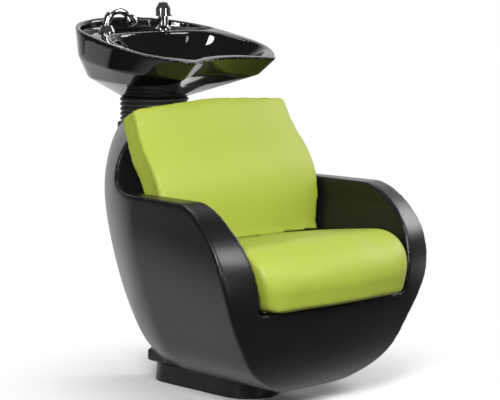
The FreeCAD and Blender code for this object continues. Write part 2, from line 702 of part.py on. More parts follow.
seat_screws, seat_holes = [], []
for across in (-size("seat_screw_across") / 2, size("seat_screw_across") / 2):
    for along in ((3 * board_front + board_rear) / 4, (board_front + 3 * board_rear) / 4):
        start = Vector(across, along, floor_height(along)) - seat_up * size("shell_wall")
        seat_screws.append(screw(start, seat_up, size("shell_wall") + lift))
        seat_holes.append(screw_hole(start, seat_up, size("shell_wall") + lift))
back_screws, back_holes = [], []
for across in (-size("back_screw_across") / 2, size("back_screw_across") / 2):
    for along in (-size("back_screw_along") / 2, size("back_screw_along") / 2):
        sunk = board + lift + size("shell_wall")
        start = board_middle + back_in * sunk + back_up * along + Vector(across, 0, 0)
        back_screws.append(screw(start, -back_in, size("shell_wall") + lift))
        back_holes.append(screw_hole(start, -back_in, size("shell_wall") + lift))

# Service cover: the part of the back that lifts off, flush with the shell. Its four screws bite into lugs
# that are moulded inside the corners of the opening.
cover_screws, cover_holes, spot_faces, cover_lugs = [], [], [], []
lug_width = size("cover_lug_width")
half_cover = size("cover_width") / 2 - size("cover_screw_inset")
screw_low = size("cover_low") + size("cover_screw_inset")
screw_high = size("cover_low") + size("cover_height") - size("cover_screw_inset")
toward_front = Vector(0, -1, 0)
for across in (-half_cover, half_cover):
    for height in (screw_low, screw_high):
        probe = Part.makeLine(Vector(across, size("basin_post_foot"), height),
                              Vector(across, size("bowl_cut_reach"), height))
        skin_spot = max(vertex.Y for vertex in whole_shell.common(probe).Vertexes)
        start = Vector(across, skin_spot - size("screw_head_height") / 2, height)
        cover_screws.append(screw(start, toward_front, size("shell_wall")))
        cover_holes.append(screw_hole(start, toward_front, size("shell_wall")))
        spot_faces.append(Part.makeCylinder(size("screw_head_diameter") / 2 + size("running_gap"),
                                            size("overrun"), start,
                                            Vector(0, 1, 0)))
        corner_x = math.copysign(size("cover_width") / 2, across)
        corner_z = height + math.copysign(size("cover_screw_inset"), height - (screw_low + screw_high) / 2)
        lug_corner = Vector(corner_x - lug_width / 2,
                            skin_spot - size("shell_wall") - size("cover_lug_depth"),
                            corner_z - lug_width / 2)
        cover_lugs.append(Part.makeBox(lug_width, size("overrun"), lug_width,
                                       lug_corner).common(shell_hollow))
shell_whole = shell_open.fuse(cover_lugs)
solid("shell", shell_whole.cut(Part.makeCompound(seat_holes + back_holes + cover_holes)))
solid("service_cover", cover_shape.cut(Part.makeCompound(cover_holes + spot_faces)))
solid("service_cover_screws", Part.makeCompound(cover_screws))
solid("seat_board", seat_board_block(0).cut(Part.makeCompound(seat_holes)))
solid("seat_board_screws", Part.makeCompound(seat_screws))
solid("back_board", back_board_block(0).cut(Part.makeCompound(back_holes)))
solid("back_board_screws", Part.makeCompound(back_screws))

# Tilt head: a welded clevis on the basin post, a pin and nut, friction washers, and the bracket's bushes.
tilt_y, tilt_z = dim("tilt_along"), level_dim("tilt_height")
clevis_top = level_dim("clevis_base") + dim("clevis_base_thickness")
lug, pin = dim("lug_radius"), dim("pin_diameter")
lug_in, lug_out = dim("clevis_lug_inner"), dim("clevis_lug_outer")
clevis_parts = [block("clevis_foot", dim("clevis_width"), dim("clevis_depth"), dim("clevis_base_thickness"),
                      -dim("clevis_width") / 2, tilt_y - dim("clevis_depth") / 2, level_dim("clevis_base"))]
for side, low_x in (("left", -lug_out), ("right", lug_in)):
    clevis_parts.append(block("clevis_lug_" + side, lug_out - lug_in, lug * 2, tilt_z - clevis_top, low_x,
                              tilt_y - lug, clevis_top))
    clevis_parts.append(rod("clevis_eye_" + side, lug * 2, lug_out - lug_in, low_x, tilt_y, tilt_z,
                            ALONG_X))
clevis_bore = rod("clevis_bore", pin + dim("running_gap") * 2, lug_out * 2, -lug_out, tilt_y, tilt_z,
                  ALONG_X)
keep("tilt_clevis", cut("tilt_clevis", joined("clevis_blank", clevis_parts), clevis_bore))

pin_length = lug_out * 2 + dim("pin_nut")
turned("tilt_pin", [(0, 0), (dim("pin_head_diameter") / 2, 0), (dim("pin_head_diameter") / 2,
                                                                dim("pin_head")),
                    (pin / 2, dim("pin_head")), (pin / 2, dim("pin_head") + pin_length),
                    (0, dim("pin_head") + pin_length)],
       -lug_out - dim("pin_head"), tilt_y, tilt_z, ALONG_X)
washer("tilt_nut", pin, dim("pin_head_diameter"), dim("pin_nut"), lug_out, tilt_y, tilt_z, ALONG_X)

bracket_in, bracket_out = dim("bracket_lug_inner"), dim("bracket_lug_outer")
washer_pair, bush_pair = [], []
for side, washer_x, bush_x in (("left", -lug_in, -bracket_out), ("right", bracket_out, bracket_in)):
    disc = rod("friction_disc_" + side, lug * 2 - dim("clearance"), lug_in - bracket_out, washer_x, tilt_y,
               tilt_z, ALONG_X)
    hole = rod("friction_hole_" + side, pin + dim("running_gap") * 2, lug_in - bracket_out, washer_x,
               tilt_y, tilt_z, ALONG_X)
    washer_pair.append(cut("friction_washer_" + side, disc, hole))
    sleeve = rod("bush_sleeve_" + side, dim("bush_diameter"), bracket_out - bracket_in, bush_x, tilt_y,
                 tilt_z, ALONG_X)
    bore = rod("bush_bore_" + side, pin + dim("running_gap") * 2, bracket_out - bracket_in, bush_x, tilt_y,
               tilt_z, ALONG_X)
    bush_pair.append(cut("bush_" + side, sleeve, bore))
group("friction_washers", washer_pair)
group("tilt_bushes", bush_pair)

neck_z, plate = level_dim("neck_height"), dim("bracket_thickness")
bracket_parts = [rod("bracket_plate", dim("bracket_diameter"), plate, 0, tilt_y, neck_z - plate)]
for side, low_x in (("left", -bracket_out), ("right", bracket_in)):
    bracket_parts.append(block("bracket_lug_" + side, bracket_out - bracket_in, lug * 2,
                               neck_z - plate - tilt_z,
                               low_x, tilt_y - lug, tilt_z))
    bracket_parts.append(rod("bracket_eye_" + side, lug * 2, bracket_out - bracket_in, low_x, tilt_y,
                             tilt_z, ALONG_X))
bracket_tools = [rod("bracket_bore", dim("bush_diameter"), bracket_out * 2, -bracket_out, tilt_y, tilt_z,
                     ALONG_X)]
bolts, bolt_holes = [], []
QUARTER_SHARE = math.sqrt(0.5)
for column in (-1, 1):
    for line in (-1, 1):
        bolt_x = dim("bracket_bolt_circle") / 2 * (column * QUARTER_SHARE)
        bolt_y = tilt_y + dim("bracket_bolt_circle") / 2 * (line * QUARTER_SHARE)
        name = "bracket_bolt_%d_%d" % (column + 1, line + 1)
        head_z = neck_z - plate - dim("bracket_bolt_head_height")
        head = rod(name + "_head", dim("bracket_bolt_head"), dim("bracket_bolt_head_height"), bolt_x,
                   bolt_y, head_z)
        shank = rod(name + "_shank", dim("bracket_bolt"), plate + dim("bracket_bolt_bite"), bolt_x, bolt_y,
                    neck_z - plate)
        bolts.append(joined(name, [head, shank]))
        bracket_tools.append(rod(name + "_hole", dim("bracket_bolt") + dim("running_gap") * 2, plate,
                                 bolt_x, bolt_y, neck_z - plate))
        bolt_holes.append(Part.makeCylinder(size("bracket_bolt") / 2 + size("running_gap"),
                                            size("bracket_bolt_bite") + lift,
                                            Vector(float(bolt_x), float(bolt_y), level("neck_height"))))
keep("basin_bracket", cut("basin_bracket", joined("bracket_blank", bracket_parts),
                          joined("bracket_tools", bracket_tools)))
group("basin_bolts", bolts)


# Bellows: a rubber gaiter between the shell's neck and the basin's, with a plain bore and rolled ribs.
RIB_SHARES = [(0.10, 0.0), (0.32, 1.0), (0.68, 1.0), (0.90, 0.0)]


def circle_wire(radius, height):
    return Part.Wire(Part.makeCircle(radius, Vector(0, size("tilt_along"), height)))


def bellows_shape():
    low = size("plinth_height") + size("shell_height") + size("clearance")
    high = level("neck_height") - size("clearance")
    count = int(size("rib_count"))
    pitch = (high - low) / count
    root, crest = size("bellows_root_diameter") / 2, size("bellows_diameter") / 2
    wires = [circle_wire(root, low)]
    for rib in range(count):
        for step, swell in RIB_SHARES:
            wires.append(circle_wire(root + swell * (crest - root), low + (rib + step) * pitch))
    wires.append(circle_wire(root, high))
    bore = Part.makeCylinder(size("bellows_bore") / 2, high - low, Vector(0, size("tilt_along"), low))
    return Part.makeLoft(wires, True, True).cut(bore)


solid("bellows", bellows_shape())

# Basin: vitreous china. Plan outlines in shares of half width and length, from the horn round to the back.
RIM_SHARES = [(0.770, 0.112), (0.897, 0.204), (0.990, 0.350), (0.985, 0.540), (0.900, 0.750),
              (0.660, 0.900), (0.310, 0.980)]


def basin_section(front, rear, half, horn, dip, height, slope):
    """One outline of the basin: a round back from horn to horn, and a hollowed front for the neck."""
    rise = math.tan(math.radians(slope))

    def spot(across, along):
        return Vector(across, along, height + (along - front) * rise)

    right = [spot(horn, front)] + [spot(w * half, front + run * (rear - front)) for w, run in RIM_SHARES]
    left = [Vector(-p.x, p.y, p.z) for p in reversed(right)]
    flank = Part.BSplineCurve()
    flank.interpolate(right + [spot(0, rear)] + left)
    return Part.Wire([flank.toShape(), Part.Arc(left[-1], spot(0, front + dip), right[0]).toShape()])


NECK_FRONT_SHARE = 0.8


def neck_section(radius, height):
    """The round foot of the basin, split into the same two edges as the outlines above it."""
    middle = size("tilt_along")
    half = radius * math.sqrt(1 - NECK_FRONT_SHARE ** 2)
    front = middle - NECK_FRONT_SHARE * radius
    right, left = Vector(half, front, height), Vector(-half, front, height)
    return Part.Wire([Part.Arc(right, Vector(0, middle + radius, height), left).toShape(),
                      Part.Arc(left, Vector(0, middle - radius, height), right).toShape()])


BAND_FRONT_SHARE, BAND_REAR_SHARE, BAND_WIDTH_SHARE = 0.117, 0.967, 0.968
SKIRT_FRONT_SHARE, SKIRT_REAR_SHARE, SKIRT_WIDTH_SHARE = 0.258, 0.945, 0.79
BAND_HORN_SHARE, SKIRT_HORN_SHARE = 0.924, 0.73


def basin_run(share):
    return size("basin_front") + share * size("basin_length")


def basin_outside(inset):
    """Rim band and skirt, drawn in by an inset for the hollow underneath."""
    half, horn, dip = size("basin_half_width"), size("basin_horn_half_width"), size("basin_neck_depth")
    rise = math.tan(math.radians(size("band_slope")))
    band_front = basin_run(BAND_FRONT_SHARE)
    rim = basin_section(size("basin_front") + inset, basin_run(1) - inset, half - inset, horn - inset, dip,
                        level("rim_front_height") - inset, size("rim_slope"))
    band = basin_section(band_front + inset, basin_run(BAND_REAR_SHARE) - inset,
                         BAND_WIDTH_SHARE * half - inset,
                         BAND_HORN_SHARE * horn - inset, dip,
                         level("band_middle_height") - rise * (size("band_level_along") - band_front - inset),
                         size("band_slope"))
    skirt = basin_section(basin_run(SKIRT_FRONT_SHARE) + inset, basin_run(SKIRT_REAR_SHARE) - inset,
                          SKIRT_WIDTH_SHARE * half - inset, SKIRT_HORN_SHARE * horn - inset, dip / 2,
                          level("skirt_height") + inset, size("skirt_slope"))
    foot = neck_section(size("neck_diameter") / 2 - inset, level("neck_height") + inset)
    return Part.makeLoft([band, rim], True, True), Part.makeLoft([foot, skirt, band], True, True)


BOWL_FLOOR_SHARE, BOWL_FLOOR_FRONT_SHARE, BOWL_FLOOR_REAR_SHARE = 0.38, 0.38, 0.66
BOWL_FLOOR_DIP_SHARE = -0.1
BOWL_SHARES = [(0.00, 0.00), (0.07, 0.24), (0.22, 0.43), (0.45, 0.62), (0.72, 0.82), (1.00, 1.00)]


def bowl(grow):
    """The inside of the bowl, from its floor up past the rim, grown by the wall for the hollow's cut."""
    half, dip, rise = size("basin_half_width"), size("basin_neck_depth"), size("rim_width")
    edge = 1.5 * rise
    floor_level, lip_level = level("bowl_floor_height"), level("rim_front_height") + rise
    horn = size("basin_horn_half_width") - edge
    floor_size = [basin_run(BOWL_FLOOR_FRONT_SHARE), basin_run(BOWL_FLOOR_REAR_SHARE),
                  BOWL_FLOOR_SHARE * half,
                  BOWL_FLOOR_SHARE * horn, BOWL_FLOOR_DIP_SHARE * dip, 0]
    lip_size = [size("basin_front") + edge, size("bowl_rear"), half - edge, horn, dip, size("rim_slope")]
    sections = []
    for climb, spread in BOWL_SHARES:
        blend = [low + spread * (high - low) for low, high in zip(floor_size, lip_size)]
        front, rear, wide, corner, hollow, slope = blend
        height = floor_level - grow + climb * (lip_level - floor_level + grow)
        sections.append(basin_section(front - grow, rear + grow, wide + grow, corner + grow, hollow, height,
                                      climb * slope))
    return Part.makeLoft(sections, True, True)


def basin_shape():
    wall, tall = size("basin_wall"), level("deck_height")
    band, skirt = basin_outside(0)
    outside = band.fuse(skirt)
    inner_band, inner_skirt = basin_outside(wall)
    under_deck = Part.makeBox(2 * size("basin_length"), size("basin_length"), tall - size("deck_thickness"),
                              Vector(-size("basin_length"), basin_run(SKIRT_FRONT_SHARE), 0))
    hollow = inner_band.fuse(inner_skirt).common(under_deck).cut(bowl(wall))
    bore = Part.makeCylinder(size("neck_bore") / 2, 2 * size("overrun"),
                             Vector(0, size("tilt_along"), level("neck_height") - size("overrun")))
    edge = size("rim_width")
    recess_outline = basin_section(size("basin_front") + edge, basin_run(1) - edge,
                                   size("basin_half_width") - edge,
                                   size("basin_horn_half_width") - edge, size("basin_neck_depth"), tall, 0)
    recess = Part.Face(recess_outline).extrude(Vector(0, 0, tall))
    holes = [Part.makeCylinder(size("drain_hole") / 2, 2 * size("overrun"),
                               Vector(0, size("drain_along"), level("bowl_floor_height") - 2 * wall)),
             Part.makeCylinder(size("mixer_hole") / 2, 2 * size("overrun"),
                               Vector(size("mixer_across"), size("mixer_along"), tall - size("overrun"))),
             Part.makeCylinder(size("holder_hole") / 2, 2 * size("overrun"),
                               Vector(size("holder_across"), size("holder_along"), tall - size("overrun")))]
    return outside.cut(bowl(0)).cut(hollow).cut(bore).cut(recess).cut(Part.makeCompound(holes + bolt_holes))


solid("basin", basin_shape())

# Drain: a flanged waste clamped through the bowl's floor, with a lift-out strainer for hair.
drain_y, bowl_z, wall_thick = dim("drain_along"), level_dim("bowl_floor_height"), dim("basin_wall")
tube, waste_bore, flange = dim("drain_tube") / 2, dim("drain_bore") / 2, dim("drain_flange_diameter") / 2
lip = dim("drain_flange_height")
turned("drain_flange", [(waste_bore, -dim("drain_drop")), (tube, -dim("drain_drop")), (tube, 0),
                        (flange, 0), (flange, lip / 2),
                        (flange - lip, lip), (waste_bore, lip)], 0, drain_y, bowl_z)
snug = dim("running_gap") * 2
seal_z = bowl_z - wall_thick - dim("drain_seal")
washer("drain_seal", dim("drain_tube") + snug, dim("drain_nut_diameter"), dim("drain_seal"), 0, drain_y,
       seal_z)
washer("drain_nut", dim("drain_tube"), dim("drain_nut_diameter"), dim("drain_nut"), 0, drain_y,
       seal_z - dim("drain_nut"))


def strainer_shape():
    """A domed cap with a ring of holes, standing on the waste's flange with its stem in the bore."""
    radius, tall, rise = size("strainer_diameter") / 2, size("strainer_height"), size("strainer_wall")
    stem = size("strainer_stem") / 2
    base = level("bowl_floor_height") + size("drain_flange_height")
    corners = [(0, -size("strainer_stem")), (stem, -size("strainer_stem")), (stem, 0), (radius, 0),
               (radius, rise),
               (radius - tall, tall), (0, tall)]
    ends = [Vector(r, size("drain_along"), base + z) for r, z in corners]
    cap = Part.Face(Part.makePolygon(ends + ends[:1])).revolve(ends[0], Vector(0, 0, 1), 360)
    count = int(size("strainer_slots"))
    for step in range(count):
        turn = 2 * math.pi * step / count
        reach = size("strainer_circle") / 2
        spot = Vector(reach * math.cos(turn), size("drain_along") + reach * math.sin(turn), base - tall)
        cap = cap.cut(Part.makeCylinder(size("strainer_slot") / 2, 3 * tall, spot))
    return cap


solid("hair_strainer", strainer_shape())

# Mixer: one casting through the deck, a cartridge on top, and a hooded lever that lifts and swivels.
mixer_x, mixer_y = dim("mixer_across"), dim("mixer_along")
deck_z, deck = level_dim("deck_height"), dim("deck_thickness")
pad, foot = dim("mixer_gasket"), dim("mixer_foot") / 2
waist, shank = dim("mixer_waist") / 2, dim("mixer_shank") / 2
tall, step = dim("mixer_body_height"), dim("mixer_foot_height")
washer("mixer_gasket", dim("mixer_shank") + snug, dim("mixer_foot"), pad, mixer_x, mixer_y, deck_z)
turned("mixer_body", [(0, -dim("mixer_shank_drop")), (shank, -dim("mixer_shank_drop")), (shank, pad),
                      (foot, pad),
                      (foot, step), (waist + step / 2, step * 2), (waist, step * 3), (waist, tall),
                      (0, tall)],
       mixer_x, mixer_y, deck_z)
thin = dim("mixer_washer")
washer("mixer_washer", dim("mixer_shank") + snug, dim("mixer_nut_diameter"), thin, mixer_x, mixer_y,
       deck_z - deck - thin)
washer("mixer_nut", dim("mixer_shank"), dim("mixer_nut_diameter"), dim("mixer_nut_height"), mixer_x,
       mixer_y,
       deck_z - deck - thin - dim("mixer_nut_height"))
spindle, spindle_tall = dim("cartridge_diameter") / 2, dim("cartridge_height")
turned("mixer_cartridge", [(0, 0), (spindle, 0), (spindle, spindle_tall), (0, spindle_tall)], mixer_x,
       mixer_y, deck_z + tall)

carrier, carrier_tall, gap = dim("carrier_diameter") / 2, dim("carrier_height"), dim("clearance")
pocket, snug_spindle = spindle_tall + gap, spindle + dim("running_gap")
carrier_blank = lathe("carrier_blank", [(snug_spindle, gap), (carrier, gap), (carrier, carrier_tall),
                                        (0, carrier_tall),
                                        (0, pocket), (snug_spindle, pocket)], mixer_x, mixer_y,
                                        deck_z + tall)
pin_z = deck_z + tall + (pocket + carrier_tall) / 2
hood, skin, hood_tall = dim("hood_diameter") / 2, dim("hood_wall"), dim("hood_height")
pin_reach = hood - skin / 4
cross_pin = rod("lever_pin", dim("lever_pin_diameter"), pin_reach * 2, mixer_x - pin_reach, mixer_y, pin_z,
                ALONG_X)
carrier_hole = rod("carrier_hole", dim("lever_pin_diameter"), carrier * 2, mixer_x - carrier, mixer_y,
                   pin_z, ALONG_X)
keep("lever_carrier", cut("lever_carrier", carrier_blank, carrier_hole))
keep("lever_pin", cross_pin)
low = dim("hood_gap")
hood_blank = lathe("hood_blank", [(hood - skin, low), (hood, low), (hood, hood_tall * HOOD_SHOULDER_SHARE),
                                   (hood * HOOD_CROWN_SHARE, hood_tall), (0, hood_tall),
                                   (0, hood_tall - skin),
                                   (hood * HOOD_CROWN_SHARE - skin, hood_tall - skin),
                                   (hood - skin, hood_tall * HOOD_SHOULDER_SHARE)], mixer_x, mixer_y,
                                   deck_z + tall)
thumb = block("thumb_lip", dim("lever_width"), dim("lever_length"), dim("lever_thickness"),
              mixer_x - dim("lever_width") / 2,
              mixer_y - hood - dim("lever_length") + skin, deck_z + tall + low)
hood_hole = rod("hood_hole", dim("lever_pin_diameter") + snug, hood * 2, mixer_x - hood, mixer_y, pin_z,
                ALONG_X)
keep("mixer_lever", cut("mixer_lever", joined("hood_with_lip", [hood_blank, thumb]), hood_hole))
index = dim("index_diameter") / 2
turned("lever_index", [(0, 0), (index, 0), (index, dim("index_height")), (0, dim("index_height"))], mixer_x,
       mixer_y,
       deck_z + tall + hood_tall)

# Hand shower: a conical collar on the deck holds a curved chrome handset with a ribbed grip.
holder_x, holder_y = dim("holder_across"), dim("holder_along")
socket, holder_shank, drop = dim("holder_bore") / 2, dim("holder_shank") / 2, dim("mixer_shank_drop")
wide, narrow, collar_tall = dim("holder_foot") / 2, dim("holder_top") / 2, dim("holder_height")
turned("shower_holder", [(socket, -drop), (holder_shank, -drop), (holder_shank, 0), (wide, 0),
                         (wide, collar_tall / 5),
                         (narrow, collar_tall), (socket, collar_tall)], holder_x, holder_y, deck_z)
washer("holder_washer", dim("holder_shank") + snug, dim("mixer_nut_diameter"), thin, holder_x, holder_y,
       deck_z - deck - thin)
washer("holder_nut", dim("holder_shank"), dim("mixer_nut_diameter"), dim("mixer_nut_height"), holder_x,
       holder_y,
       deck_z - deck - thin - dim("mixer_nut_height"))

lean_turn = math.radians(size("shower_lean"))
sideways = Vector(math.cos(lean_turn), math.sin(lean_turn), 0)
swing = Vector(-sideways.y, sideways.x, 0)
upright = Vector(0, 0, 1)
handle_base = Vector(size("holder_across"), size("holder_along"),
                     level("deck_height") + size("holder_height") + size("clearance") + size("stem_neck"))
bend_middle = handle_base + sideways * size("handle_bend")


def along_bend(radius, start, sweep):
    """A round bar bent about the handle's centre, from one angle on through a sweep, in degrees."""
    section = Part.Face(Part.Wire(Part.makeCircle(radius, handle_base, upright)))
    bar = section.revolve(bend_middle, swing, sweep)
    bar.rotate(bend_middle, swing, start)
    return bar


def handle_shape():
    """Stem, resting collar and the long bend, in one tube."""
    stem_radius = size("holder_bore") / 2 - size("running_gap")
    stem_low = handle_base - upright * (size("stem_neck") + size("clearance") + size("stem_length"))
    stem = Part.makeCylinder(stem_radius, size("stem_length") + size("clearance") + size("stem_neck"),
                             stem_low, upright)
    collar = Part.makeCylinder(size("grip_diameter") / 2, size("stem_neck"),
                               handle_base - upright * size("stem_neck"), upright)
    return stem.fuse(collar).fuse(along_bend(size("handle_diameter") / 2, 0, size("handle_sweep")))


solid("shower_handle", handle_shape())


def grip_shape():
    """A rubber sleeve on the bend, with raised ribs and narrow valleys between them."""
    count = int(size("grip_ribs"))
    rib = size("grip_sweep") / (2 * count + 1)
    sleeve = None
    for step in range(2 * count + 1):
        radius = size("grip_diameter") / 2 - (step % 2) * size("grip_groove")
        ringlet = along_bend(radius, size("grip_start") + step * rib, rib)
        sleeve = ringlet if sleeve is None else sleeve.fuse(ringlet)
    return sleeve.cut(along_bend(size("handle_diameter") / 2 + size("running_gap"), 0,
                                 size("handle_sweep")))


solid("shower_grip", grip_shape())

sweep_turn = math.radians(size("handle_sweep"))
head_reach = sideways * (-math.cos(sweep_turn)) + upright * math.sin(sweep_turn)
head_spot = bend_middle + head_reach * size("handle_bend")
head_aim = sideways * math.sin(sweep_turn) + upright * math.cos(sweep_turn)
head_turn = Rotation(upright, head_aim)
bulb, neck, length = dim("head_diameter") / 2, dim("handle_diameter") / 2, dim("head_length")
spray = dim("spray_face_diameter") / 2
turned("spray_head", [(0, 0), (neck, 0), (bulb, length * HEAD_SWELL_SHARE),
                      (bulb, length * HEAD_FULL_SHARE), (spray, length),
                      (0, length)], head_spot.x, head_spot.y, head_spot.z, head_turn)
face_spot = head_spot + head_aim * float(length)
turned("spray_face", [(0, 0), (spray - snug, 0), (spray - snug, dim("spray_face")), (0, dim("spray_face"))],
       face_spot.x, face_spot.y, face_spot.z, head_turn)

# Every piece is checked before its file is written.
doc.recompute()
for made in doc.Objects:
    if "Invalid" in made.State or "Error" in made.State:
        raise RuntimeError("%s failed: %s" % (made.Name, made.State))
for label, made in nodes.items():
    if made.Shape.isNull() or not made.Shape.isValid() or not made.Shape.Solids:
        raise RuntimeError("%s has no valid solid" % label)
os.makedirs("parts", exist_ok=True)
for label, made in nodes.items():
    made.Shape.exportStep("parts/%s.step" % label)
print("%d pieces written" % len(nodes))
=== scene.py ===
import math

import bmesh
import bpy
import numpy as np
from mathutils import Matrix, Vector
from mathutils.bvhtree import BVHTree


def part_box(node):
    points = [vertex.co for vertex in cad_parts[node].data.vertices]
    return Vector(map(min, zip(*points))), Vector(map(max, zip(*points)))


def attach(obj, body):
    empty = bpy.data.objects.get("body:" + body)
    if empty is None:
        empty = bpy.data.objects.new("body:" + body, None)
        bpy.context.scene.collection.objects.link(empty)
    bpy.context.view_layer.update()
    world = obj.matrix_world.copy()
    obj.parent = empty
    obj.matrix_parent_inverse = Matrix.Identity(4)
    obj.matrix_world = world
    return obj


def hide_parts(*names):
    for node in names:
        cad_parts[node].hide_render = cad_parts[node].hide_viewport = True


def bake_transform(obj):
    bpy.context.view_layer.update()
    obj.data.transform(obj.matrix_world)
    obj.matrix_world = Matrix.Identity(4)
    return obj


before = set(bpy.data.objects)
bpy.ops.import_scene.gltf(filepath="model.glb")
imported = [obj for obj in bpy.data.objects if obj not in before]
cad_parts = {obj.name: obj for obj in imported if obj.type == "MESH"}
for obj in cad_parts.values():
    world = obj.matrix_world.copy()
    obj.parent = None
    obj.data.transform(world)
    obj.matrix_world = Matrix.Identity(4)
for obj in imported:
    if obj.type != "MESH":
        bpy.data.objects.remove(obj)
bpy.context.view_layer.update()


# Shell and plinth: a tub with arms, moulded in black plastic with a fine spark-eroded grain and a satin
# sheen. Its creases are soft, so that each one draws a thin highlight. A service cover is screwed on behind.
def detail_group():
    """A fine grain for the bump and slow patches for colour and gloss, both in the piece's own space."""
    group = bpy.data.node_groups.new("surface_detail", "ShaderNodeTree")
    for label, start in (("Grain Scale", 900.0), ("Grain Depth", 0.1), ("Patch Scale", 14.0),
                         ("Rough Low", 0.3), ("Rough High", 0.5)):
        socket = group.interface.new_socket(label, in_out="INPUT", socket_type="NodeSocketFloat")
        socket.default_value = start
    group.interface.new_socket("Roughness", in_out="OUTPUT", socket_type="NodeSocketFloat")
    group.interface.new_socket("Normal", in_out="OUTPUT", socket_type="NodeSocketVector")
    group.interface.new_socket("Patches", in_out="OUTPUT", socket_type="NodeSocketFloat")
    nodes, link = group.nodes, group.links.new
    inputs, outputs = nodes.new("NodeGroupInput"), nodes.new("NodeGroupOutput")
    place = nodes.new("ShaderNodeTexCoord")
    grain, patches = nodes.new("ShaderNodeTexNoise"), nodes.new("ShaderNodeTexNoise")
    grain.inputs["Detail"].default_value = 3.0
    patches.inputs["Detail"].default_value = 4.0
    bump, spread = nodes.new("ShaderNodeBump"), nodes.new("ShaderNodeMapRange")
    bump.inputs["Distance"].default_value = 0.001
    for texture, scale in ((grain, "Grain Scale"), (patches, "Patch Scale")):
        link(place.outputs["Object"], texture.inputs["Vector"])
        link(inputs.outputs[scale], texture.inputs["Scale"])
    link(grain.outputs["Fac"], bump.inputs["Height"])
    link(inputs.outputs["Grain Depth"], bump.inputs["Strength"])
    link(patches.outputs["Fac"], spread.inputs["Value"])
    link(inputs.outputs["Rough Low"], spread.inputs["To Min"])
    link(inputs.outputs["Rough High"], spread.inputs["To Max"])
    link(spread.outputs["Result"], outputs.inputs["Roughness"])
    link(bump.outputs["Normal"], outputs.inputs["Normal"])
    link(patches.outputs["Fac"], outputs.inputs["Patches"])
    return group


detail = detail_group()


def finish_of(name, colour, second, grain, depth, patch, rough, metallic=0.0, shine=0.5):
    """A finish of two close colours mixed in patches, with its own grain and uneven gloss."""
    made = bpy.data.materials.new(name)
    made.use_nodes = True
    nodes, link = made.node_tree.nodes, made.node_tree.links.new
    shader = nodes["Principled BSDF"]
    surface, mix = nodes.new("ShaderNodeGroup"), nodes.new("ShaderNodeMix")
    surface.node_tree = detail
    for label, amount in (("Grain Scale", grain), ("Grain Depth", depth), ("Patch Scale", patch),
                          ("Rough Low", rough[0]), ("Rough High", rough[1])):
        surface.inputs[label].default_value = amount
    mix.data_type = "RGBA"
    mix.inputs["A"].default_value = (*colour, 1.0)
    mix.inputs["B"].default_value = (*second, 1.0)
    link(surface.outputs["Patches"], mix.inputs["Factor"])
    link(mix.outputs["Result"], shader.inputs["Base Color"])
    link(surface.outputs["Roughness"], shader.inputs["Roughness"])
    link(surface.outputs["Normal"], shader.inputs["Normal"])
    shader.inputs["Metallic"].default_value = metallic
    shader.inputs["Specular IOR Level"].default_value = shine
    return made


def dress(piece, finish):
    piece.data.materials.clear()
    piece.data.materials.append(finish)


def even_copy(name, mesh, voxel, rounds):
    """A smooth piece from a rough closed mesh: remeshed evenly, then relaxed so that hard edges turn soft."""
    piece = bpy.data.objects.new(name, mesh)
    bpy.context.collection.objects.link(piece)
    remesh = piece.modifiers.new("even", "REMESH")
    remesh.mode = "VOXEL"
    remesh.voxel_size = voxel
    if rounds:
        relax = piece.modifiers.new("relax", "SMOOTH")
        relax.factor = 0.5
        relax.iterations = rounds
    settled = bpy.data.meshes.new_from_object(piece.evaluated_get(bpy.context.evaluated_depsgraph_get()))
    piece.modifiers.clear()
    piece.data = settled
    settled.shade_smooth()
    return piece


def outer_island(mesh):
    """Leaves only the faces joined to the one that reaches farthest out, and drops the lining of the hollow."""
    bm = bmesh.new()
    bm.from_mesh(mesh)
    left, islands = set(bm.faces), []
    while left:
        seed = left.pop()
        island, edge_of = [seed], [seed]
        while edge_of:
            for edge in edge_of.pop().edges:
                for face in edge.link_faces:
                    if face in left:
                        left.remove(face)
                        island.append(face)
                        edge_of.append(face)
        islands.append(island)
    outside = max(islands, key=lambda faces: max(face.verts[0].co.x for face in faces))
    inner = [face for island in islands if island is not outside for face in island]
    bmesh.ops.delete(bm, geom=inner, context="FACES")
    bm.to_mesh(mesh)
    bm.free()
    return mesh


base_plug = ((-0.085, -0.15, 0.0502), (0.085, 0.195, 0.085))
neck_plug = ((-0.075, 0.18, 0.675), (0.075, 0.33, 0.7058))
cover_set_in, cover_margin = 0.011, 1.08
shell_first_voxel, shell_voxel, shell_rounds = 0.0026, 0.0045, 8


def shell_mesh():
    """The moulding's outer skin as one closed mesh, with a shallow recess behind the service cover."""
    bm = bmesh.new()
    for node in ("shell", "seat_board", "seat_board_screws", "back_board", "back_board_screws"):
        bm.from_mesh(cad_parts[node].data)
    for low, high in (base_plug, neck_plug):
        middle, spread = (Vector(low) + Vector(high)) / 2, Vector(high) - Vector(low)
        bmesh.ops.create_cube(bm, size=1.0, matrix=Matrix.LocRotScale(middle, None, spread))
    low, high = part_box("service_cover")
    middle = Vector((low + high) / 2)
    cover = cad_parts["service_cover"].data.copy()
    cover.transform(Matrix.Translation(middle - Vector((0.0, cover_set_in, 0.0)))
                    @ Matrix.Diagonal((cover_margin, 1.0, cover_margin, 1.0)) @ Matrix.Translation(-middle))
    bm.from_mesh(cover)
    mesh = bpy.data.meshes.new("shell_blank")
    bm.to_mesh(mesh)
    bm.free()
    blank = even_copy("shell_blank", mesh, shell_first_voxel, 0)
    skin = outer_island(blank.data.copy())
    bpy.data.objects.remove(blank)
    return skin


